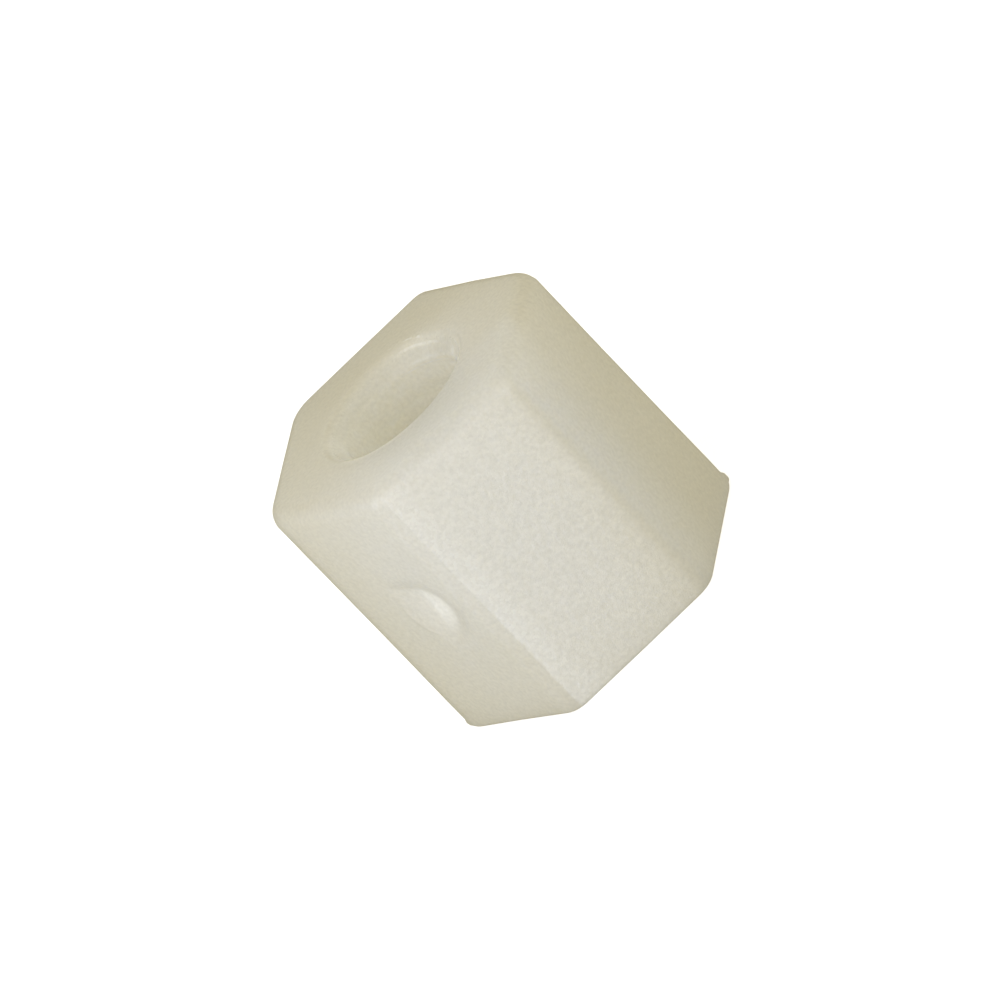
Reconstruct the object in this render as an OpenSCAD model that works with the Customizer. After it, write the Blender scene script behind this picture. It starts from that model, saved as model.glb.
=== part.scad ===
// Female-to-female hexagonal standoff, injection-moulded in natural nylon.
// Millimetres, +Z up. The origin is the centre of the lower end face, and the
// bore runs along +Z. Two flats face +Y and -Y, and the two corners where the
// mould halves meet are on +X and -X.

/* [Body] */
// Distance across opposite flats
across_flats = 6; // [5.5:0.5:8]
// Distance between the two end faces
body_length = 6; // [4:1:30]
// Radius on the two long edges that lie on the parting line
parting_edge_r = 0.8; // [0.5:0.1:0.9]
// Radius on the four long edges inside the mould halves
long_edge_r = 0.5; // [0.4:0.1:0.9]
// Radius around the edge of the upper end face
end_edge_r = 0.38; // [0.1:0.02:0.38]

/* [Threaded bore] */
// Diameter at the crests of the M3 thread, where the bore wall is
bore_d = 2.55; // [2.4:0.05:2.7]
// Diameter of the lead-in where it meets each end face
mouth_d = 3.3; // [3:0.05:3.6]
// Included angle of the lead-in
mouth_angle = 90; // [60:5:120]

/* [Parting flash] */
// How far the flash nib stands out past the rounded parting edge
flash_proud = 0.05; // [0.02:0.01:0.09]
// Height of the flash nib above the lower end face
flash_h = 0.15; // [0.08:0.01:0.3]
// Thickness of the flash nib at its tip, across the parting line
flash_t = 0.16; // [0.08:0.02:0.3]

/* [Ejector mark] */
// Direction that the marked flat faces, in degrees from +X
mark_face = 210; // [30:60:330]
// Radius of the round end that left the mark
mark_r = 1.0; // [0.6:0.05:1.1]
// Offset of its centre from the middle of the flat, towards the next flat
mark_offset = 0.3; // [-0.3:0.02:0.3]
// Height of its centre above the lower end face
mark_z = 3.0; // [1.5:0.05:28]
// Depth at the deep side of the mark
mark_depth = 0.2; // [0.1:0.02:0.3]
// Width of the mark, from the shallow side to the deep side
mark_w = 1.46; // [1.2:0.02:1.5]

/* [Hidden] */
$fn = 48;
margin = 0.5;                                        // cutters run this far past the body
apothem = across_flats / 2;
sharp_r = apothem / cos(30);                         // axis to a sharp corner
nylon = [0.86, 0.84, 0.77];

// radius on long edge i, counted round from the one on +X
function edge_r(i) = (i % 3 == 0) ? parting_edge_r : long_edge_r;
// distance from the axis to the centre of that edge's round
function post_d(i) = sharp_r - edge_r(i) / cos(30);

// bar as wide as one pair of opposite flats, rounded along its two upper edges
module flat_pair(i) {
    rotate([90, 0, 60 * i + 30]) translate([0, 0, -across_flats])
        linear_extrude(height = 2 * across_flats) union() {
            translate([-apothem, 0]) square([across_flats, body_length - end_edge_r]);
            translate([end_edge_r - apothem, 0]) square([across_flats - 2 * end_edge_r, body_length]);
            for (s = [-1, 1])
                translate([s * (apothem - end_edge_r), body_length - end_edge_r]) circle(r = end_edge_r);
        }
}

// round post of radius r, rounded around its upper end
module corner_post(r) {
    rotate_extrude() union() {
        translate([0, -2 * margin]) square([r, body_length - end_edge_r + 2 * margin]);
        translate([0, -2 * margin]) square([r - end_edge_r, body_length + 2 * margin]);
        intersection() {
            translate([r - end_edge_r, body_length - end_edge_r]) circle(r = end_edge_r);
            square([r, body_length]);
        }
    }
}

// what the round takes off sharp corner i: the wedge outside the corner post
module corner_cut(i) {
    c = post_d(i);
    wide = edge_r(i) + margin;
    rotate([0, 0, 60 * i]) difference() {
        translate([0, 0, -margin]) linear_extrude(height = body_length + 2 * margin)
            polygon([[c, 0], [c + wide * cos(30), -wide * sin(30)],
                     [sharp_r + 2 * margin, 0], [c + wide * cos(30), wide * sin(30)]]);
        translate([c, 0, 0]) corner_post(edge_r(i));
    }
}

// six flats, six rounded long edges and a rounded upper end
module rounded_hex() {
    difference() {
        intersection() { flat_pair(0); flat_pair(1); flat_pair(2); }
        for (i = [0:5]) corner_cut(i);
    }
}

// flash nib at the foot of the parting edge on +X
module flash_nib() {
    c = post_d(0);
    reach = c + parting_edge_r + flash_proud;
    linear_extrude(height = flash_h)
        polygon([[c, -0.6 * parting_edge_r], [reach, -flash_t / 2], [reach, flash_t / 2], [c, 0.6 * parting_edge_r]]);
}

// bore at the thread's crests, opened by a lead-in at each end
module bore_cut() {
    slope = tan(mouth_angle / 2);
    lead = (mouth_d - bore_d) / 2 / slope;
    translate([0, 0, -margin]) cylinder(d = bore_d, h = body_length + 2 * margin);
    for (s = [0, 1])
        translate([0, 0, s * body_length]) mirror([0, 0, s]) translate([0, 0, -margin])
            cylinder(d1 = mouth_d + 2 * margin * slope, d2 = bore_d, h = lead + margin);
}

// round flat-ended cutter, leaned so that it bites on one side of the flat only
module mark_cut() {
    lean = atan(mark_depth / mark_w);
    rotate([0, 0, mark_face])
        translate([apothem - mark_depth, mark_offset + mark_r, mark_z]) rotate([0, 0, lean])
            translate([0, -mark_r / cos(lean), 0]) rotate([0, 90, 0]) cylinder(r = mark_r, h = 4 * margin);
}

module standoff() {
    color(nylon) difference() {
        union() {
            rounded_hex();
            flash_nib();
            rotate([0, 0, 180]) flash_nib();
        }
        bore_cut();
        mark_cut();
    }
}

standoff();
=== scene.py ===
import math

import bpy
import numpy as np
from mathutils import Matrix, Vector


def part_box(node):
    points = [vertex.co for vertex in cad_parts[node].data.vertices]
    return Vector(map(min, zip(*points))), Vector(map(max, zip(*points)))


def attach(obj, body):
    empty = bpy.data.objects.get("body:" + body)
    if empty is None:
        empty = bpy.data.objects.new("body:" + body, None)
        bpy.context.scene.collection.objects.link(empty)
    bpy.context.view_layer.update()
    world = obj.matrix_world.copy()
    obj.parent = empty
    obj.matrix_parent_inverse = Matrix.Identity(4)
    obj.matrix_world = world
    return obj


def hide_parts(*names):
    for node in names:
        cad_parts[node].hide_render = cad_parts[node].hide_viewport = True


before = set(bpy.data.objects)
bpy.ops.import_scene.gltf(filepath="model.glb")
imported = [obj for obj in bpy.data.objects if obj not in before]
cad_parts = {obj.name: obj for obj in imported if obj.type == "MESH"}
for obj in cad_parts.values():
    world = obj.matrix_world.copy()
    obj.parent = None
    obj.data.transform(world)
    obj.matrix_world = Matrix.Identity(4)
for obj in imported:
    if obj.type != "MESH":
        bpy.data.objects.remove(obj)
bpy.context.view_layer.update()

# ---------------------------------------------------------------- sizes, in millimetres
MM = 0.001
lo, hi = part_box("standoff")
HALF = (hi.y - lo.y) / 2 / MM            # axis to a flat
LENGTH = (hi.z - lo.z) / MM
SIDE = HALF / math.cos(math.radians(30)) # axis to a sharp corner, and a side's length
BEND = {0: 0.88, 60: 0.49, 120: 0.79, 180: 0.82, 240: 0.52, 300: 0.52}   # long edge radii
THREAD_R, ROOT_R, PITCH = 1.275, 1.435, 0.5
CREST_W = 0.17
MOUTH_R = 1.665
BORE_AT = np.array([-0.10, -0.02])         # the tapped hole is a hair off the middle
PHASE = 0.15                             # height of a crest's middle on +X, modulo the pitch


def smooth(a, b, x):
    t = np.clip((np.asarray(x, float) - a) / (b - a), 0, 1)
    return t * t * (3 - 2 * t)


# ---------------------------------------------------------------- seeded noise
class Noise:
    """Smooth gradient noise in three dimensions, about -1 to 1, one unit a cell."""

    def __init__(self, seed):
        r = np.random.RandomState(seed)
        self.perm = np.tile(r.permutation(512), 3)
        g = r.normal(size=(512, 3))
        self.grad = g / np.linalg.norm(g, axis=1)[:, None]

    def __call__(self, x, y, z=0.0):
        x, y, z = np.broadcast_arrays(*(np.asarray(v, float) for v in (x, y, z)))
        p = np.stack([x, y, z], -1)
        i = np.floor(p).astype(int)
        f = p - i
        w = f * f * f * (f * (f * 6 - 15) + 10)
        total = 0.0
        for a in (0, 1):
            for b in (0, 1):
                for c in (0, 1):
                    h = self.perm[(i[..., 0] + a) % 512]
                    h = self.perm[(h + i[..., 1] + b) % 512 + 512]
                    h = self.perm[(h + i[..., 2] + c) % 512 + 512] % 512
                    d = f - np.array([a, b, c])
                    dot = (self.grad[h] * d).sum(-1)
                    wx = w[..., 0] if a else 1 - w[..., 0]
                    wy = w[..., 1] if b else 1 - w[..., 1]
                    wz = w[..., 2] if c else 1 - w[..., 2]
                    total = total + dot * wx * wy * wz
        return total * 1.7


grain_a, grain_b, grain_c = Noise(11), Noise(12), Noise(13)
wave_n, draw_n, edge_n, end_n, bore_n = Noise(21), Noise(22), Noise(23), Noise(24), Noise(25)

# ---------------------------------------------------------------- columns round the body
# Each column is a place on the outline: a point, its outward direction, the face or long edge
# that it is on, and how far it is along that face (mm) or round that edge (degrees).


def steps(a, b, step):
    n = max(1, int(round(abs(b - a) / step)))
    return list(np.linspace(a, b, n + 1)[:-1])


cols = []


def add_face(deg, runs):
    n = np.array([math.cos(math.radians(deg)), math.sin(math.radians(deg))])
    e = np.array([-n[1], n[0]])
    for a, b, step in runs:
        for s in steps(a, b, step):
            cols.append((n * HALF + e * s, n, deg, s))


def add_corner(deg, turns):
    r = BEND[deg]
    a = math.radians(deg)
    c = (SIDE - r / math.cos(math.radians(30))) * np.array([math.cos(a), math.sin(a)])
    for t in turns:
        b = math.radians(deg + t)
        n = np.array([math.cos(b), math.sin(b)])
        cols.append((c + r * n, n, deg, t))


def reach(deg):
    return SIDE / 2 - BEND[deg] * math.tan(math.radians(30))


SEAM = [-30, -24, -19, -14, -10, -7, -5, -3.6, -2.4, -1.2, 0, 1.2, 2.4, 3.6, 5, 7, 10, 14, 19, 24.5]
add_face(90, [(0.0, reach(120), 0.19)])
add_corner(120, np.linspace(-30, 30, 10)[:-1])
add_face(150, [(-reach(120), reach(180), 0.19)])
add_corner(180, SEAM)
add_face(210, [(-reach(180), -0.45, 0.09), (-0.45, 1.40, 0.036), (1.40, reach(240), 0.04)])
add_corner(240, np.linspace(-30, 30, 17)[:-1])
add_face(270, [(-reach(240), reach(300), 0.030)])
add_corner(300, np.linspace(-30, 30, 15)[:-1])
add_face(330, [(-reach(300), -0.8, 0.06), (-0.8, reach(0), 0.15)])
add_corner(0, SEAM)
add_face(30, [(-reach(0), reach(60), 0.19)])
add_corner(60, np.linspace(-30, 30, 10)[:-1])
add_face(90, [(-reach(60), 0.0, 0.19)])

BASE = np.array([c[0] for c in cols])
OUT = np.array([c[1] for c in cols])
FACE = np.array([c[2] for c in cols])
ALONG = np.array([c[3] for c in cols])
N = len(cols)
gap = np.linalg.norm(np.roll(BASE, -1, 0) - BASE, axis=1)
ROUND = np.concatenate([[0], np.cumsum(gap)])       # distance round the outline, N + 1 values
ANGLE = np.degrees(np.arctan2(BASE[:, 1], BASE[:, 0])) % 360


# radii of the upper and lower ends' edges, which differ a little from corner to corner
EDGE_AT = [0, 30, 60, 90, 120, 150, 180, 210, 240, 270, 300, 330, 360]
TOP_R = np.interp(ANGLE, EDGE_AT, [.40, .37, .43, .40, .39, .37, .37, .39, .40, .41, .41, .41, .40])
FOOT_R = np.interp(ANGLE, EDGE_AT, [.05, .08, .10, .10, .10, .10, .12, .14, .11, .07, .06, .05, .05])

# ---------------------------------------------------------------- rows up the side
FOOT = [90, 68, 45, 22]
NIB_TOP = 0.36
foot_rows, nib_rows, main_rows, top_rows = len(FOOT), 13, 156, 14
ROWS = foot_rows + nib_rows + main_rows + top_rows + 1
z = np.zeros((ROWS, N)); inset = np.zeros((ROWS, N)); tilt = np.zeros((ROWS, N))
for k, p in enumerate(FOOT):
    p = math.radians(p)
    z[k] = FOOT_R * (1 - math.sin(p))
    inset[k] = FOOT_R * (1 - math.cos(p))
    tilt[k] = -p
for k in range(nib_rows):
    z[foot_rows + k] = FOOT_R + (NIB_TOP - FOOT_R) * k / nib_rows
for k in range(main_rows):
    z[foot_rows + nib_rows + k] = NIB_TOP + (LENGTH - TOP_R - NIB_TOP) * k / main_rows
for k in range(top_rows + 1):
    p = math.pi / 2 * k / top_rows
    row = foot_rows + nib_rows + main_rows + k
    z[row] = LENGTH - TOP_R + TOP_R * math.sin(p)
    inset[row] = TOP_R * (1 - math.cos(p))
    tilt[row] = p

x = BASE[None, :, 0] - inset * OUT[None, :, 0]
y = BASE[None, :, 1] - inset * OUT[None, :, 1]
face = np.broadcast_to(FACE, z.shape)
along = np.broadcast_to(ALONG, z.shape)
turn = np.broadcast_to(ROUND[:-1], z.shape)

# the rough patch: all of the -Y flat and a little of the edge to its left, up to just under the end
ragged = 0.022 * edge_n(x * 9, z * 9, 3.1) + 0.012 * edge_n(x * 25, z * 25, 7.7)
low_y = smooth(-2.45, -2.62, y)
left = smooth(-1.60, -1.55, x + ragged)
right = 1 - smooth(1.34, 1.58, x + 2.5 * ragged + 0.05 * np.sin(z * 1.3))
top_line = 5.86 - 0.05 * (x + 1.6) - 0.16 * smooth(1.0, 1.6, x) * (x - 1.0)
top = 1 - smooth(-0.05, 0.04, z - top_line + 1.5 * ragged)
rough = low_y * left * right * top

# round mark on the 210 degree flat: a floor that slopes in from one side under a broad soft lip
MX, MZ, MR = 0.31, 3.02, 1.02
on_210 = (face == 210)
rho = np.hypot(along - MX, z - MZ)
lip = np.clip(MR - rho, 0, None) ** 2 / 1.5 + 1e-6
sunk = 0.225 * (along + 0.17 - 0.3 * np.clip(3.3 - z, 0, 1)) * (1 + 0.35 * (z - MZ))
slope = np.clip(sunk, 0, None) + 1e-6
proud = np.clip(sunk, -0.020, 0) * (1 - smooth(0.52, 0.64, rho))     # and stands up a little at the other side
mark = np.where(on_210, (lip ** -4 + slope ** -4) ** -0.25 + proud, 0.0)
mark = mark * (1 + 0.06 * end_n(along * 2.6, z * 2.6, 5.5))
# painted highlight, partly whitening: a pale core on the mark's floor standing in for its sheen
core = 0.28 * smooth(-0.15, 0.42, along) + 0.72 * smooth(0.34, 0.52, along + 0.015 * edge_n(z * 5, 0.3, 4.4))
core = core * (1 - smooth(0.47, 0.66, rho + 0.04 * edge_n(along * 4, z * 4, 9.1)))
core = core * smooth(2.10, 3.08, z) * (1 - 0.30 * smooth(3.45, 3.65, z))
core = core * (0.88 + 0.24 * edge_n(along / 0.11, z / 1.4, 2.2))
mark_sheen_and_whitening = np.where(on_210, core, 0.0)

# painted glints: the patch's sparkle, painted into its colour, is strongest in a strip down its left side and at its
# foot
strip = np.exp(-((x + 1.36) / 0.20) ** 2)
foot_end = np.exp(-((x + 1.15) / 0.35) ** 2) * smooth(0.9, 0.2, z)
sparkle = rough * np.minimum(0.30 + 0.70 * strip * smooth(0.0, 2.5, z) + 0.75 * foot_end + 0.25 * strip, 1.0)

# parting line on the two long edges at +X and -X, with a nib of flash at the foot
on_part = (face == 0) | (face == 180)
arc = np.radians(along) * BEND[0]
ridge = np.where(on_part, 0.006 * np.exp(-(arc / 0.022) ** 2) * (0.7 + 0.3 * draw_n(z * 2.3, 0.2, 1.0)), 0)
nib_r = np.where(face == 0, 1.0, 0.50)
nib = np.where(on_part, nib_r * 0.042 * (1 - smooth(0.06, 0.13, np.abs(arc))) * (1 - smooth(0.14, 0.22, z)), 0)

# slight sink and waviness of the flats, faint lines along the draw, and the patch's grain
waves = 0.006 * wave_n(turn / 1.9, z / 2.2, 0.5)
lines = 0.0012 * draw_n(turn / 0.07, z / 2.5, 4.0) + 0.0010 * draw_n(turn / 0.22, z / 4.0, 9.0)
grain = (0.60 * grain_a(x / 0.085, y / 0.085, z / 0.10)
         + 0.55 * grain_b(x / 0.048, y / 0.048, z / 0.052)
         + 0.35 * grain_c(x / 0.20, y / 0.20, z / 0.26))
raise_ = waves + lines - mark + ridge + nib + rough * (0.0085 * grain + 0.003)
fade = smooth(LENGTH, LENGTH - 0.25, z)          # nothing but the grain reaches over the end's edge
raise_ = raise_ * np.where(z > LENGTH / 2, 0.15 + 0.85 * fade, 1.0)

x = x + raise_ * np.cos(tilt) * OUT[None, :, 0]
y = y + raise_ * np.cos(tilt) * OUT[None, :, 1]
zz = z + np.where(tilt > 0, raise_ * np.sin(tilt), 0.0)     # the lower end stands flat

# ---------------------------------------------------------------- the mesh, patch by patch
verts, attrs = [], []
faces, uvs = [], []
count = 0


def add_points(p, rough_=0.0, white=0.0, bore=0.0, glint=0.0):
    """Adds points in mm and returns their numbers, in the same shape."""
    global count
    p = np.asarray(p, float)
    shape = p.shape[:-1]
    n = int(np.prod(shape))
    verts.append(p.reshape(-1, 3))
    a = np.stack([np.broadcast_to(v, shape).reshape(-1) for v in (rough_, white, bore, glint)], 1)
    attrs.append(a.astype(float))
    ids = np.arange(count, count + n).reshape(shape)
    count += n
    return ids


def add_quads(ids, u, v, flip=False):
    """ids, u and v are rows by columns, with the last column repeating the first where it closes."""
    a, b, c, d = ids[:-1, :-1], ids[:-1, 1:], ids[1:, 1:], ids[1:, :-1]
    q = np.stack([a, b, c, d], -1).reshape(-1, 4)
    uv = np.stack([np.stack([u[:-1, :-1], u[:-1, 1:], u[1:, 1:], u[1:, :-1]], -1),
                   np.stack([v[:-1, :-1], v[:-1, 1:], v[1:, 1:], v[1:, :-1]], -1)], -1).reshape(-1, 4, 2)
    if flip:
        q, uv = q[:, ::-1], uv[:, ::-1]
    for f, t in zip(q.tolist(), uv.tolist()):
        keep = [k for k in range(4) if f[k] != f[k - 1]]
        if len(keep) > 2 and len(set(f)) == len(keep):
            faces.append([f[k] for k in keep])
            uvs.extend(t[k] for k in keep)


SHEET = 20.8                                     # the map's side, in mm of surface
side_ids = add_points(np.stack([x, y, zz], -1), rough, mark_sheen_and_whitening, 0.0, sparkle)
wrap = np.concatenate([side_ids, side_ids[:, :1]], 1)
length_up = np.concatenate([[0], np.cumsum(np.hypot(np.diff(z.mean(1)), np.diff(inset.mean(1))))])
add_quads(wrap, np.broadcast_to(ROUND / SHEET, wrap.shape) + 0.01,
          np.broadcast_to(length_up[:, None] / SHEET, wrap.shape) + 0.01)

# ---- bore: helical rows across the thread, clamped at the two circles where the lead-ins end it
T = 144
TH = math.radians(90) + 2 * math.pi * np.arange(T + 1) / T     # starts at the back, like the columns
DEPTH = ROOT_R - THREAD_R
FLANK = DEPTH * math.tan(math.radians(45))
half = [0.0, 0.035, 0.067, 0.098, 0.129, 0.160, 0.191, 0.222]
ACROSS = [-v for v in half[:0:-1]] + half + [0.25]


def trapezoid_area(v):
    """Area under the thread's groove from the crest's middle to v, for rounding its corners."""
    v = np.abs(v)
    a, b = CREST_W / 2, CREST_W / 2 + FLANK
    t = np.clip(v - a, 0, FLANK)
    return t * t / 2 / FLANK * DEPTH + np.clip(v - b, 0, None) * DEPTH


def groove(v, soft=0.085):
    """Depth of the groove at v from a crest's middle, corners rounded."""
    v = (np.asarray(v, float) + PITCH / 2) % PITCH - PITCH / 2
    def area(q):
        q2 = np.where(np.abs(q) > PITCH / 2, PITCH - np.abs(q), np.abs(q))
        full = trapezoid_area(np.array(PITCH / 2))
        s = np.where(np.abs(q) > PITCH / 2, 2 * full - trapezoid_area(q2), trapezoid_area(q2))
        return np.sign(q) * s
    return (area(v + soft) - area(v - soft)) / (2 * soft)


def soft_max(a, b, k):
    return 0.5 * (a + b + np.sqrt((a - b) ** 2 + k * k))


def lead_in(zc):
    up, down = MOUTH_R - (LENGTH - zc), MOUTH_R - zc
    return np.maximum(up, down)


def bore_radius(th, zc):
    turns = (th - 0.0) / (2 * math.pi)
    ramp = 0.25 + 0.75 * smooth(0.50, 1.80, np.minimum(zc, LENGTH - zc))      # the first turns run out shallow
    r = THREAD_R + groove(zc - PHASE - PITCH * turns) * ramp + 0.05 * (1 - ramp)
    r = r + 0.0035 * bore_n(np.cos(th) * 3, np.sin(th) * 3, zc / 0.5) + 0.0015 * bore_n(np.cos(th) * 14, np.sin(th) * 14, zc / 0.12)
    return soft_max(r, lead_in(zc), 0.03)


Z_LO, Z_HI = 0.07, LENGTH - 0.07
turns_up = int(math.ceil((LENGTH + 3 * PITCH) / PITCH))
G = turns_up * len(ACROSS)
g = np.arange(G)
raw = (np.array(ACROSS)[g % len(ACROSS)] + PITCH * (g // len(ACROSS)))[:, None] + PITCH * (TH[None, :] / (2 * math.pi))
raw = raw + PHASE - PITCH * 3                   # well below the lower circle at every column


def deepness(zc):
    """0 at the mouths, 1 from a fifth of a millimetre in."""
    return 0.04 + 0.96 * smooth(-0.03, 0.20, np.minimum(zc, LENGTH - zc))


def in_bore(th, zc):
    r = bore_radius(th, zc)
    th, zc = np.broadcast_arrays(th, zc)
    return add_points(np.stack([BORE_AT[0] + r * np.cos(th), BORE_AT[1] + r * np.sin(th), zc], -1), 0, 0, deepness(zc))


low_ring, high_ring = in_bore(TH[:-1], Z_LO), in_bore(TH[:-1], Z_HI)
ids = np.full((G, T + 1), -1)
SNAP = 0.006
for i in range(T):
    zc = raw[:, i]
    ids[zc <= Z_LO + SNAP, i] = low_ring[i]
    ids[zc >= Z_HI - SNAP, i] = high_ring[i]
    new = ids[:, i] < 0
    ids[new, i] = in_bore(TH[i], zc[new])
M = len(ACROSS)
ids[:G - M, T] = ids[M:, 0]
ids[G - M:, T] = high_ring[0]
bu = np.broadcast_to(np.arange(T + 1) / T * 9.2 / SHEET, ids.shape) + 0.01
bv = (np.clip(raw, Z_LO, Z_HI) * 1.5 + 7.2) / SHEET
add_quads(ids, bu, bv, flip=True)


# ---- end faces: from the outline's inner edge to the mouth
def end(ring_ids, points, circle_ids, circle_z, sign, uv_at):
    """Rings between the outline (N points) and the mouth's circle (T points), then down to circle_z."""
    angle_a = (np.degrees(np.arctan2(points[:, 1], points[:, 0])) - 90) % 360
    order_ok = np.concatenate([angle_a, [360]])
    order_ok[0] = 0 if order_ok[0] > 180 else order_ok[0]
    radius_a = np.hypot(points[:, 0], points[:, 1])
    z_face = LENGTH if sign > 0 else 0.0
    centre_u, centre_v = uv_at

    def uv_of(p):
        return (centre_u + sign * p[..., 0]) / SHEET, (centre_v + p[..., 1]) / SHEET

    def polar_rows(rows_r, th):
        return np.stack([rows_r * np.cos(th), rows_r * np.sin(th)], -1)

    # two rows that keep the outline's columns
    th_a = np.arctan2(points[:, 1], points[:, 0])
    prev_ids, prev_xy = ring_ids, points[:, :2]
    for t in (0.10, 0.26):
        r = radius_a + (MOUTH_R + 0.10 - radius_a) * t
        xy = polar_rows(r, th_a) + BORE_AT * t
        dz = end_height(xy)
        new = add_points(np.concatenate([xy, (z_face + sign * dz)[:, None]], 1))
        w = np.stack([np.append(prev_ids, prev_ids[0]), np.append(new, new[0])])
        both = np.stack([np.vstack([prev_xy, prev_xy[:1]]), np.vstack([xy, xy[:1]])])
        u, v = uv_of(both)
        add_quads(w, u, v, flip=sign < 0)
        prev_ids, prev_xy = new, xy
    # zip from N columns to T columns
    t_zip = 0.40
    th_b = TH[:-1]
    r_b = np.interp(np.degrees(th_b - math.pi / 2), np.append(angle_fix(angle_a), 360), np.append(radius_a, radius_a[0]))
    r = r_b + (MOUTH_R + 0.10 - r_b) * t_zip
    xy = polar_rows(r, th_b) + BORE_AT * t_zip
    new = add_points(np.concatenate([xy, (z_face + sign * end_height(xy))[:, None]], 1))
    a_ang, b_ang = np.append(angle_fix(angle_a), 360.0), np.append(np.degrees(th_b - math.pi / 2), 360.0)
    i = j = 0
    ia, ib = prev_ids, new
    pa, pb = prev_xy, xy
    while i < N or j < T:
        if j >= T or (i < N and a_ang[i + 1] <= b_ang[j + 1]):
            tri = [(ia[i % N], pa[i % N]), (ia[(i + 1) % N], pa[(i + 1) % N]), (ib[j % T], pb[j % T])]
            i += 1
        else:
            tri = [(ia[i % N], pa[i % N]), (ib[(j + 1) % T], pb[(j + 1) % T]), (ib[j % T], pb[j % T])]
            j += 1
        if sign < 0:
            tri = tri[::-1]
        faces.append([int(t_[0]) for t_ in tri])
        for t_ in tri:
            u, v = uv_of(np.array(t_[1]))
            uvs.append((float(u), float(v)))
    # T columns in to the mouth, over its edge and down the lead-in
    prev_ids, prev_xy, prev_z = new, xy, np.full(T, z_face)
    rows = [("flat", t) for t in (0.55, 0.68, 0.80, 0.90)]
    for kind, t in rows:
        r = r_b + (MOUTH_R + 0.10 - r_b) * t
        xy = polar_rows(r, th_b) + BORE_AT * t
        new = add_points(np.concatenate([xy, (z_face + sign * end_height(xy))[:, None]], 1))
        w = np.stack([np.append(prev_ids, prev_ids[0]), np.append(new, new[0])])
        both = np.stack([np.vstack([prev_xy, prev_xy[:1]]), np.vstack([xy, xy[:1]])])
        u, v = uv_of(both)
        add_quads(w, u, v, flip=sign < 0)
        prev_ids, prev_xy = new, xy
    for dr, dz in ((0.047, 0.0), (0.0237, 0.0021), (0.0033, 0.0083), (-0.0156, 0.0184), (-0.0321, 0.0319), (-0.050, 0.050)):
        zc = z_face - sign * dz
        wall = bore_radius(th_b, zc)
        r = np.maximum(MOUTH_R + dr, wall + (0.002 if dz == 0 else 0.0))
        if dr <= 0.03:
            r = np.maximum(wall, MOUTH_R + dr) if dr > 0 else np.maximum(wall, MOUTH_R - dz + 0.0)
        xy = polar_rows(r, th_b) + BORE_AT
        new = add_points(np.concatenate([xy, np.full((T, 1), zc)], 1), 0, 0, deepness(zc))
        w = np.stack([np.append(prev_ids, prev_ids[0]), np.append(new, new[0])])
        both = np.stack([np.vstack([prev_xy, prev_xy[:1]]), np.vstack([xy, xy[:1]])])
        u, v = uv_of(both)
        add_quads(w, u, v, flip=sign < 0)
        prev_ids, prev_xy = new, xy
    circle_xy = polar_rows(bore_radius(th_b, circle_z), th_b) + BORE_AT
    w = np.stack([np.append(prev_ids, prev_ids[0]), np.append(circle_ids, circle_ids[0])])
    both = np.stack([np.vstack([prev_xy, prev_xy[:1]]), np.vstack([circle_xy, circle_xy[:1]])])
    u, v = uv_of(both)
    add_quads(w, u, v, flip=sign < 0)


def angle_fix(a):
    a = a.copy()
    if a[0] > 180:
        a[0] = 0.0
    return a


def end_height(xy):
    """The end faces aren't quite flat."""
    r = np.hypot(xy[:, 0], xy[:, 1])
    sink = -0.004 * smooth(2.9, 1.9, r) + 0.0015 * end_n(xy[:, 0] / 0.9, xy[:, 1] / 0.9, 0.3) * smooth(3.0, 2.5, r)
    return np.minimum(sink, 0.0)


top_points = np.stack([x[-1], y[-1], zz[-1]], -1)
foot_points = np.stack([x[0], y[0], zz[0]], -1)
end(side_ids[-1], top_points, high_ring, Z_HI, 1, (9.9 + 3.5, 7.2 + 3.1))
end(side_ids[0], foot_points, low_ring, Z_LO, -1, (9.9 + 3.5, 7.2 + 9.5))

# painted shade from how near each place is to the outer edges: 1 on them, fading over half a millimetre, and also over
# the back of the upper end
P = np.concatenate(verts)
planes = [HALF - P[:, 0] * math.cos(math.radians(d)) - P[:, 1] * math.sin(math.radians(d)) for d in range(30, 390, 60)]
near = np.sort(np.stack(planes + [LENGTH - P[:, 2], P[:, 2]], 1), 1)
edge_shade = 1 - (1 - np.exp(-near[:, 1] / 0.42)) * (1 - 0.5 * np.exp(-near[:, 2] / 0.42))
edge_shade = np.maximum(edge_shade, 1.45 * smooth(0.7, 2.6, P[:, 1]) * smooth(5.5, 5.9, P[:, 2]))
# painted light: a glow along the right flat's front edge, and in front of the mouth
past = (P[:, 0] - HALF * math.tan(math.radians(30))) * math.sin(math.radians(30)) + (P[:, 1] + HALF) * math.cos(math.radians(30))   # mm along the 330 degree flat, from its front edge
painted_glow = smooth(-0.10, 0.12, past) * smooth(2.0, 0.2, past) * smooth(-0.4, 0.2, P[:, 0]) * (0.45 + 0.55 * smooth(0.5, 4.5, P[:, 2])) * smooth(2.2, 2.5, np.hypot(P[:, 0], P[:, 1]))
painted_glow = np.maximum(painted_glow, 0.8 * smooth(5.45, 5.85, P[:, 2]) * smooth(-0.7, -1.6, P[:, 1]) * smooth(2.75, 2.2, P[:, 0]) * smooth(-2.2, -0.9, P[:, 0]) * smooth(1.5, 1.75, np.hypot(P[:, 0], P[:, 1])))
P = P * MM
A = np.concatenate([np.concatenate(attrs), edge_shade[:, None], painted_glow[:, None]], 1)
mesh = bpy.data.meshes.new("standoff_body")
mesh.from_pydata(P.tolist(), [], faces)
mesh.validate(verbose=False)
layer = mesh.uv_layers.new(name="OFBake")
layer.data.foreach_set("uv", np.array(uvs, np.float32).ravel())
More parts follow.
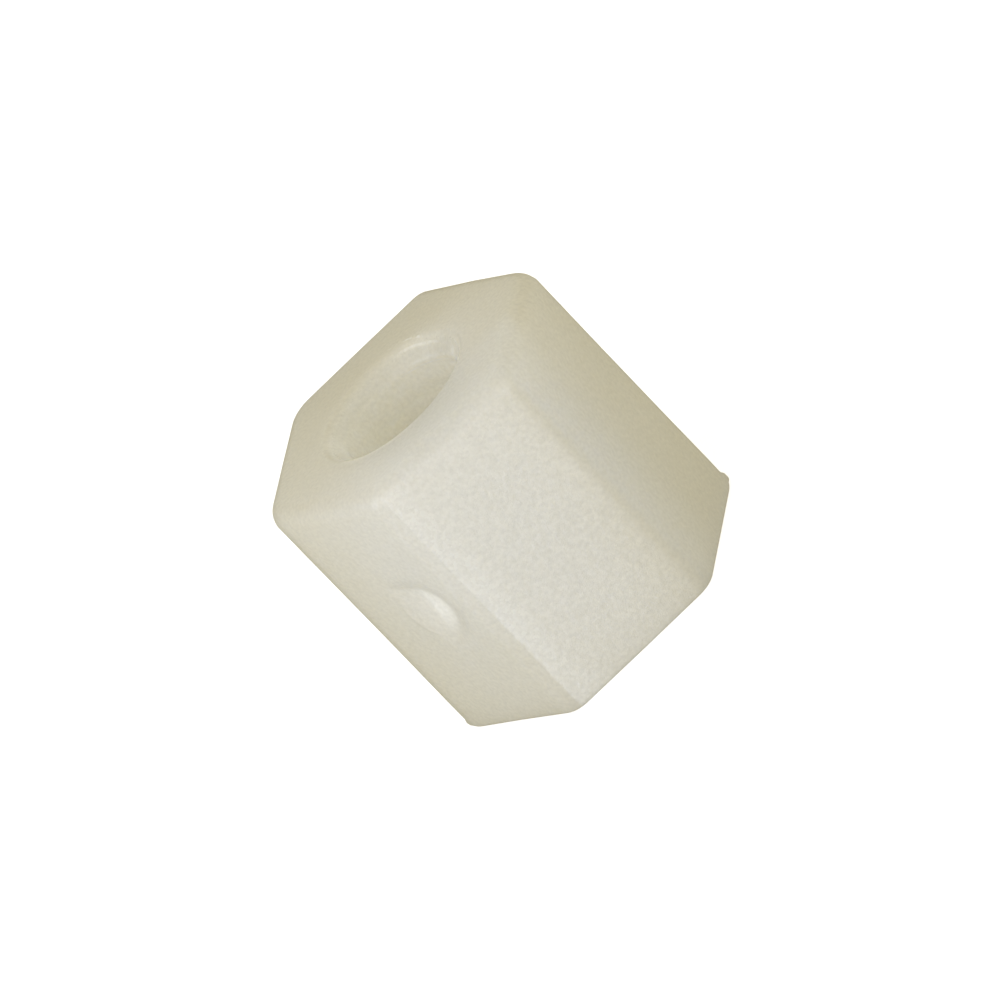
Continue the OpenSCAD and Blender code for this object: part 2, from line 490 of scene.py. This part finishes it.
for name, k in (("rough", 0), ("pale", 1), ("bore", 2), ("glint", 3), ("edge_shade", 4), ("painted_glow", 5)):
    a = mesh.attributes.new(name, "FLOAT", "POINT")
    a.data.foreach_set("value", A[:, k].astype(np.float32))
mesh.shade_smooth()
mesh.update()
piece = bpy.data.objects.new("standoff_body", mesh)
bpy.context.scene.collection.objects.link(piece)
print("triangles", sum(len(f) - 2 for f in faces), "vertices", len(P), "columns", N, "rows", ROWS)


# ---------------------------------------------------------------- natural nylon
def node(tree, kind, at=(0, 0), **values):
    n = tree.nodes.new(kind)
    n.location = at
    for k, v in values.items():
        if k.startswith("in_"):
            n.inputs[k[3:].replace("_", " ")].default_value = v
        else:
            setattr(n, k, v)
    return n


nylon = bpy.data.materials.new("natural_nylon")
nylon.use_nodes = True
t = nylon.node_tree
for n in list(t.nodes):
    t.nodes.remove(n)
out = node(t, "ShaderNodeOutputMaterial", (900, 0))
bsdf = node(t, "ShaderNodeBsdfPrincipled", (600, 0))
t.links.new(bsdf.outputs[0], out.inputs[0])
bsdf.subsurface_method = "RANDOM_WALK"
bsdf.inputs["Subsurface Weight"].default_value = 0.6
bsdf.inputs["Subsurface Radius"].default_value = (1.0, 0.92, 0.75)
bsdf.inputs["Subsurface Scale"].default_value = 0.010
bsdf.inputs["IOR"].default_value = 1.53
bsdf.inputs["Specular IOR Level"].default_value = 0.5

coord = node(t, "ShaderNodeTexCoord", (-1400, 0))
scale = node(t, "ShaderNodeVectorMath", (-1200, 0), operation="SCALE")
scale.inputs["Scale"].default_value = 1000.0     # millimetres
t.links.new(coord.outputs["Object"], scale.inputs[0])
mm_out = scale.outputs[0]


def noise(scale_, detail, rough_, at, vec=None):
    n = node(t, "ShaderNodeTexNoise", at)
    n.inputs["Scale"].default_value = scale_
    n.inputs["Detail"].default_value = detail
    n.inputs["Roughness"].default_value = rough_
    t.links.new(vec or mm_out, n.inputs["Vector"])
    return n.outputs["Fac"]


def attribute(name, at):
    n = node(t, "ShaderNodeAttribute", at, attribute_name=name)
    return n.outputs["Fac"]


def math_(op, a, b, at, clamp=False):
    n = node(t, "ShaderNodeMath", at, operation=op, use_clamp=clamp)
    for k, v in enumerate((a, b)):
        if isinstance(v, (int, float)):
            n.inputs[k].default_value = v
        else:
            t.links.new(v, n.inputs[k])
    return n.outputs[0]


def mix_color(fac, a, b, at):
    n = node(t, "ShaderNodeMix", at, data_type="RGBA")
    for key, v in ((0, fac), (6, a), (7, b)):
        if isinstance(v, (int, float)):
            n.inputs[key].default_value = v
        elif isinstance(v, tuple):
            n.inputs[key].default_value = v + (1.0,)
        else:
            t.links.new(v, n.inputs[key])
    return n.outputs[2]


is_rough, is_pale, is_bore = attribute("rough", (-1400, -300)), attribute("pale", (-1400, -450)), attribute("bore", (-1400, -600))
is_glint, is_edge_shade, is_painted_glow = attribute("glint", (-1400, -750)), attribute("edge_shade", (-1400, -900)), attribute("painted_glow", (-1400, -1050))
cloud = noise(0.55, 3, 0.5, (-900, 400))
fleck = noise(13.5, 2, 0.5, (-900, 250))
speck = noise(10.5, 1, 0.5, (-900, 100))

# painted highlights on the thread: where the lead-in runs into the first groove, and a line below it
place = node(t, "ShaderNodeSeparateXYZ", (-1200, -1200))
t.links.new(mm_out, place.inputs[0])
bx = math_("SUBTRACT", place.outputs[0], float(BORE_AT[0]), (-1000, -1100))
by = math_("SUBTRACT", place.outputs[1], float(BORE_AT[1]), (-1000, -1200))
round_ = math_("MULTIPLY", math_("ARCTAN2", by, bx, (-850, -1150)), 180 / math.pi, (-700, -1150))   # degrees from +X
deep = math_("SUBTRACT", LENGTH, place.outputs[2], (-1000, -1300))


def between(v, a, b, c, d, at):
    """1 where v is from b to c, falling to 0 at a and at d."""
    up = node(t, "ShaderNodeMapRange", at, interpolation_type="SMOOTHSTEP")
    down = node(t, "ShaderNodeMapRange", (at[0], at[1] - 150), interpolation_type="SMOOTHSTEP")
    for n, lo_, hi_ in ((up, a, b), (down, d, c)):
        t.links.new(v, n.inputs["Value"])
        n.inputs["From Min"].default_value, n.inputs["From Max"].default_value = lo_, hi_
    return math_("MULTIPLY", up.outputs[0], down.outputs[0], (at[0] + 200, at[1]))


wobble = math_("MULTIPLY", math_("SUBTRACT", noise(3.0, 2, 0.5, (-900, -1450)), 0.5, (-700, -1450)), 0.05, (-550, -1450))
first = math_("SUBTRACT", math_("ADD", deep, wobble, (-500, -1300)), math_("MULTIPLY", math_("SUBTRACT", 65, round_, (-700, -1300)), 0.00207, (-550, -1300)), (-400, -1300))
bright = math_("ADD", math_("MULTIPLY", between(round_, 24, 34, 60, 70, (-300, -1600)), 0.85, (0, -1600)), math_("MULTIPLY", between(round_, 10, 22, 61, 74, (-300, -1750)), 0.30, (0, -1750)), (60, -1650))
streak = math_("MULTIPLY", between(first, 0.068, 0.084, 0.104, 0.122, (-300, -1300)), bright, (100, -1300))
hook = math_("MULTIPLY", between(round_, 1.5, 5, 7, 10.5, (-300, -1900)), between(deep, 0.18, 0.24, 0.34, 0.42, (-300, -2200)), (100, -1900))
wound = math_("SUBTRACT", math_("SUBTRACT", place.outputs[2], math_("MULTIPLY", round_, PITCH / 360, (-500, -2400)), (-400, -2400)), PHASE - 0.04, (-300, -2400))
wrap_v = node(t, "ShaderNodeMath", (-200, -2400), operation="WRAP")
t.links.new(wound, wrap_v.inputs[0])
wrap_v.inputs[1].default_value, wrap_v.inputs[2].default_value = PITCH / 2, -PITCH / 2
corner = between(math_("ABSOLUTE", wrap_v.outputs[0], 0, (-100, -2400)), 0.096, 0.114, 0.136, 0.154, (0, -2400))
corner = math_("MULTIPLY", corner, between(round_, 8, 30, 62, 84, (0, -2700)), (300, -2400))
corner = math_("MULTIPLY", corner, between(deep, 0.26, 0.34, 0.56, 0.70, (0, -3000)), (400, -2400))
bore_glints = math_("ADD", math_("MULTIPLY", hook, 1.0, (300, -1900)), math_("MULTIPLY", corner, 1.0, (500, -2400)), (600, -2000))
# and painted highlights on the mouth's edge: a broken line at the back, and a fine even line of painted glow in front
out_r = math_("SQRT", math_("ADD", math_("MULTIPLY", bx, bx, (-850, -3300)), math_("MULTIPLY", by, by, (-850, -3400)), (-700, -3300)), 0, (-550, -3300))
off = math_("SUBTRACT", out_r, math_("ADD", math_("MULTIPLY", round_, 0.0055, (-550, -3400)), 1.386, (-400, -3400)), (-300, -3300))
dashes = math_("MULTIPLY", between(off, -0.030, -0.012, 0.012, 0.030, (-100, -3300)), between(round_, 42, 46, 68, 76, (-100, -3600)), (300, -3300))
rim = math_("MULTIPLY", between(out_r, MOUTH_R - 0.015, MOUTH_R + 0.010, MOUTH_R + 0.050, MOUTH_R + 0.160, (-100, -3900)), between(round_, -166, -140, -104, -76, (-100, -4200)), (300, -3900))
gaps = math_("ADD", math_("MULTIPLY", noise(7.5, 1, 0.5, (200, -3100)), 7.0, (300, -3100)), -3.2, (350, -3100), True)
dashes = math_("MULTIPLY", dashes, gaps, (380, -3300))
mouth_glints = math_("ADD", math_("MULTIPLY", dashes, 1.1, (400, -3300)), math_("MULTIPLY", rim, 0.75, (400, -3900)), (500, -3500))
mouth_glints = math_("MULTIPLY", mouth_glints, between(deep, -1.0, -0.5, 0.05, 0.07, (400, -4200)), (600, -3500))
broken = math_("ADD", math_("MULTIPLY", noise(9.0, 2, 0.5, (500, -1500)), 1.7, (650, -1500)), -0.10, (750, -1500), True)
inside = math_("MULTIPLY", is_bore, 25.0, (700, -1000), True)
bore_glints = math_("MULTIPLY", math_("ADD", streak, bore_glints, (700, -1300)), inside, (750, -1300))
bore_glints = math_("MULTIPLY", math_("ADD", bore_glints, mouth_glints, (800, -1300)), broken, (900, -1300), True)

# painted light and shade: paler about the top of the -Y flat, darker and yellower towards the back, the foot and the
# two sides, with a random cloudy tone in the yellowing
lit_centre = node(t, "ShaderNodeVectorMath", (-1200, 700), operation="DISTANCE")
t.links.new(mm_out, lit_centre.inputs[0])
lit_centre.inputs[1].default_value = (-0.5, -2.7, 4.5)
painted_light = node(t, "ShaderNodeMapRange", (-1000, 700), interpolation_type="SMOOTHSTEP")
t.links.new(lit_centre.outputs["Value"], painted_light.inputs["Value"])
painted_light.inputs["From Min"].default_value, painted_light.inputs["From Max"].default_value = 3.3, 0.9
away = node(t, "ShaderNodeMapRange", (-1000, 900), interpolation_type="SMOOTHSTEP")
t.links.new(place.outputs[1], away.inputs["Value"])
away.inputs["From Min"].default_value, away.inputs["From Max"].default_value = -1.2, 3.4
low = node(t, "ShaderNodeMapRange", (-1000, 1100), interpolation_type="SMOOTHSTEP")
t.links.new(place.outputs[2], low.inputs["Value"])
low.inputs["From Min"].default_value, low.inputs["From Max"].default_value = 4.0, -1.0
outer = math_("MULTIPLY", math_("MULTIPLY", place.outputs[0], place.outputs[0], (-1000, 1300)), 0.036, (-850, 1300))
# painted shade: darker and yellower towards the back, the foot and the two sides, with a random cloudy tone
shade_and_cloud = math_("ADD", math_("MULTIPLY", away.outputs[0], 0.64, (-800, 900)), math_("MULTIPLY", low.outputs[0], 0.30, (-800, 1100)), (-650, 900))
shade_and_cloud = math_("ADD", shade_and_cloud, outer, (-550, 1000))
shade_and_cloud = math_("ADD", shade_and_cloud, math_("MULTIPLY", math_("SUBTRACT", cloud, 0.5, (-800, 1200)), 0.30, (-650, 1200)), (-450, 1000))
shade_and_cloud = math_("MULTIPLY", shade_and_cloud, math_("SUBTRACT", 1.0, math_("MULTIPLY", is_bore, 0.7, (-800, 1400)), (-650, 1400)), (-350, 1000), True)
base = mix_color(shade_and_cloud, (0.915, 0.893, 0.820), (0.660, 0.610, 0.470), (-500, 400))
# painted shade: darker towards the outer edges and over the back of the upper end
base = mix_color(math_("MULTIPLY", is_edge_shade, 0.52, (-500, 300)), base, (0.700, 0.660, 0.540), (-350, 400))
nearer = node(t, "ShaderNodeMapRange", (-700, 550), interpolation_type="SMOOTHSTEP")     # painted light: the bore is paler, most of all just inside the mouths
t.links.new(math_("MINIMUM", deep, place.outputs[2], (-850, 550)), nearer.inputs["Value"])
nearer.inputs["From Min"].default_value, nearer.inputs["From Max"].default_value = 1.25, 0.80
bore_fac = math_("MULTIPLY", is_bore, math_("ADD", math_("MULTIPLY", nearer.outputs[0], 0.38, (-600, 550)), 0.46, (-500, 550)), (-450, 500))
base = mix_color(bore_fac, base, (0.972, 0.950, 0.842), (-300, 450))
# painted light: paler about the top of the -Y flat and along the glow masks
base = mix_color(math_("MAXIMUM", math_("MULTIPLY", painted_light.outputs[0], 0.45, (-450, 600)), math_("MULTIPLY", is_painted_glow, 0.85, (-450, 700)), (-350, 600)), base, (0.955, 0.947, 0.905), (-250, 500))
# painted highlights: the mark's pale core, and the glints in the bore and on the mouth's edge
pale = math_("MAXIMUM", is_pale, bore_glints, (-500, -450))
frost_and_highlights = math_("ADD", math_("MULTIPLY", is_rough, 0.42, (-700, -300)), math_("MULTIPLY", is_glint, 0.52, (-700, -380)), (-550, -300))
ramp = node(t, "ShaderNodeMapRange", (-700, -480), interpolation_type="SMOOTHSTEP")     # painted shade: the patch's paleness fades towards its right
t.links.new(place.outputs[0], ramp.inputs["Value"])
ramp.inputs["From Min"].default_value, ramp.inputs["From Max"].default_value = 1.6, 0.3
frost_and_highlights = math_("MAXIMUM", math_("MULTIPLY", frost_and_highlights, ramp.outputs[0], (-480, -300)), pale, (-400, -300))
base = mix_color(frost_and_highlights, base, (0.960, 0.952, 0.908), (-100, 400))
# the colour's gain: random flecks of tone, painted glints in the patch and painted glow on the front of the mouth's
# edge
flecks = math_("MULTIPLY", math_("SUBTRACT", fleck, 0.5, (-700, 250)), 0.28, (-300, 250))
painted_glints = math_("MULTIPLY", math_("SUBTRACT", speck, 0.52, (-700, 100)), 0.85, (-600, 100), True)
painted_glints = math_("MULTIPLY", painted_glints, is_glint, (-300, 100))
gain = math_("ADD", math_("ADD", flecks, painted_glints, (-200, 200)), math_("ADD", math_("MULTIPLY", rim, 0.07, (-300, 350)), 0.99, (-200, 350)), (-100, 200))
grained = node(t, "ShaderNodeVectorMath", (100, 400), operation="SCALE")
t.links.new(base, grained.inputs[0])
t.links.new(math_("MINIMUM", gain, 1.06, (0, 300)), grained.inputs["Scale"])
t.links.new(grained.outputs[0], bsdf.inputs["Base Color"])
within = math_("ADD", math_("MULTIPLY", is_bore, 0.40, (-100, 100)), 0.60, (0, 100))
within = math_("MAXIMUM", within, math_("ADD", math_("MULTIPLY", is_painted_glow, 0.38, (-100, 300)), 0.60, (0, 300)), (50, 150))
within = math_("SUBTRACT", within, math_("MULTIPLY", is_rough, 0.16, (0, 200)), (100, 200))
t.links.new(math_("MULTIPLY", within, math_("SUBTRACT", 1.0, pale, (100, 50)), (200, 200), True), bsdf.inputs["Subsurface Weight"])

fine = noise(26.0, 3, 0.6, (-900, 0))
rough_v = math_("ADD", math_("MULTIPLY", fine, 0.14, (-500, 0)), 0.29, (-350, 0))
rough_v = math_("ADD", rough_v, math_("MULTIPLY", is_rough, 0.16, (-500, -100)), (-200, 0))
rough_v = math_("SUBTRACT", rough_v, math_("MULTIPLY", is_bore, 0.12, (-500, -150)), (-100, 0), True)
t.links.new(rough_v, bsdf.inputs["Roughness"])

micro = noise(38.0, 3, 0.65, (-900, -150))
coarse = noise(14.0, 2, 0.5, (-900, -800))
height = math_("ADD", math_("MULTIPLY", micro, math_("ADD", math_("MULTIPLY", is_rough, 0.9, (-700, -600)), 0.12, (-600, -600)), (-400, -500)),
               math_("MULTIPLY", coarse, math_("ADD", math_("MULTIPLY", is_rough, 0.5, (-700, -700)), 0.10, (-600, -700)), (-400, -650)), (-200, -500))
bump = node(t, "ShaderNodeBump", (200, -300))
bump.inputs["Strength"].default_value = 1.0
bump.inputs["Distance"].default_value = 0.000012
t.links.new(height, bump.inputs["Height"])
t.links.new(bump.outputs[0], bsdf.inputs["Normal"])

mesh.materials.append(nylon)
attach(piece, "root")
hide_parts("standoff")

# ---------------------------------------------------------------- floor
bpy.ops.mesh.primitive_circle_add(vertices=96, radius=0.6, fill_type="NGON", location=(0, 0, -0.00001))
ground = bpy.context.object
ground.name = "floor"
pale = bpy.data.materials.new("pale_floor")
pale.use_nodes = True
ft = pale.node_tree
for n in list(ft.nodes):
    ft.nodes.remove(n)
f_out = node(ft, "ShaderNodeOutputMaterial", (600, 0))
f_dif = node(ft, "ShaderNodeBsdfDiffuse", (0, 0))
f_dif.inputs["Color"].default_value = (0.85, 0.85, 0.85, 1)
f_em = node(ft, "ShaderNodeEmission", (0, -150))
f_em.inputs["Color"].default_value = (1, 1, 1, 1)
f_em.inputs["Strength"].default_value = 0.72
f_add = node(ft, "ShaderNodeAddShader", (200, 0))
f_clear = node(ft, "ShaderNodeBsdfTransparent", (200, -200))
f_geo = node(ft, "ShaderNodeNewGeometry", (0, 200))
f_mix = node(ft, "ShaderNodeMixShader", (400, 0))
ft.links.new(f_dif.outputs[0], f_add.inputs[0])
ft.links.new(f_em.outputs[0], f_add.inputs[1])
ft.links.new(f_geo.outputs["Backfacing"], f_mix.inputs[0])
ft.links.new(f_add.outputs[0], f_mix.inputs[1])
ft.links.new(f_clear.outputs[0], f_mix.inputs[2])
ft.links.new(f_mix.outputs[0], f_out.inputs[0])
ground.data.materials.append(pale)
ground.visible_diffuse = False
ground.visible_glossy = False
ground.visible_transmission = False
ground.visible_shadow = False

# ---------------------------------------------------------------- light
scene = bpy.context.scene
scene.view_settings.view_transform = "Standard"
world = bpy.data.worlds.new("studio")
scene.world = world
world.use_nodes = True
wt = world.node_tree
for n in list(wt.nodes):
    wt.nodes.remove(n)
w_out = node(wt, "ShaderNodeOutputWorld", (600, 0))
w_room = node(wt, "ShaderNodeBackground", (0, 0))
w_room.inputs["Color"].default_value = (1.0, 0.91, 0.61, 1)
w_room.inputs["Strength"].default_value = 0.33
w_seen = node(wt, "ShaderNodeBackground", (0, -150))
w_seen.inputs["Color"].default_value = (1, 1, 1, 1)
w_seen.inputs["Strength"].default_value = 1.0
w_path = node(wt, "ShaderNodeLightPath", (0, 200))
w_mix = node(wt, "ShaderNodeMixShader", (300, 0))
wt.links.new(w_path.outputs["Is Camera Ray"], w_mix.inputs[0])
wt.links.new(w_room.outputs[0], w_mix.inputs[1])
wt.links.new(w_seen.outputs[0], w_mix.inputs[2])
wt.links.new(w_mix.outputs[0], w_out.inputs[0])

CENTRE = Vector((0, 0, LENGTH / 2 * MM))


def softbox(name, azimuth, elevation, distance, size, level, colour):
    """A square softbox. Azimuth 0 stands in front, at -Y, and 90 at +X. level is the brightness that it alone gives a white matt surface that faces it."""
    a, e = math.radians(azimuth), math.radians(elevation)
    way = Vector((math.sin(a) * math.cos(e), -math.cos(a) * math.cos(e), math.sin(e)))
    d = bpy.data.lights.new(name, "AREA")
    d.shape = "SQUARE"
    d.size = size
    q = math.sin(math.atan(size / 2 / distance))
    share = 4 / math.pi * q * math.atan(q)        # how much of a facing surface's view it fills
    d.energy = level * math.pi * size ** 2 / share
    d.color = colour
    o = bpy.data.objects.new(name, d)
    o.location = CENTRE + way * distance
    o.rotation_mode = "QUATERNION"
    o.rotation_quaternion = way.to_track_quat("Z", "Y")
    scene.collection.objects.link(o)
    return o


softbox("key", -45, 38, 0.30, 0.26, 0.217, (1.0, 0.90, 0.87))
softbox("side", -85, 26, 0.30, 0.20, 0.239, (0.75, 0.86, 1.0))
softbox("fill_low", -7, -6, 0.30, 0.24, 0.363, (0.71, 0.80, 1.0))
softbox("fill_right", 33, 28, 0.30, 0.20, 0.127, (1.0, 0.87, 0.42))
softbox("back_right", 123, -2, 0.30, 0.30, 0.124, (1.0, 0.99, 0.94))
softbox("back_left", -104, -22, 0.30, 0.24, 0.056, (1.0, 0.93, 0.60))
softbox("back_top", 161, 44, 0.30, 0.30, 0.110, (0.94, 0.98, 1.0))

# ---------------------------------------------------------------- camera
AZ, EL, ROLL = -0.0825, 22.84, -43.917          # degrees
PX, FAR = 53.471, 1 / 0.0035                    # pixels a mm at the object's centre, and distance in mm
SHIFT = (-0.0323, 0.0496)
a, e, r = (math.radians(v) for v in (AZ, EL, ROLL))
back = Vector((math.sin(a) * math.cos(e), -math.cos(a) * math.cos(e), math.sin(e)))
right0 = Vector((math.cos(a), math.sin(a), 0))
up0 = back.cross(right0)
right1 = math.cos(r) * right0 + math.sin(r) * up0
up1 = -math.sin(r) * right0 + math.cos(r) * up0
cam_data = bpy.data.cameras.new("camera")
cam_data.sensor_fit = "HORIZONTAL"
cam_data.sensor_width = 36.0
cam_data.lens = 36.0 * PX * FAR / 1000.0
cam_data.clip_start, cam_data.clip_end = 0.01, 5.0
cam = bpy.data.objects.new("camera", cam_data)
cam.matrix_world = Matrix((
    (right1.x, up1.x, back.x, 0), (right1.y, up1.y, back.y, 0), (right1.z, up1.z, back.z, 0), (0, 0, 0, 1)))
cam.location = CENTRE + (-SHIFT[0] * right1 - SHIFT[1] * up1 + FAR * back) * MM
scene.collection.objects.link(cam)
scene.camera = cam
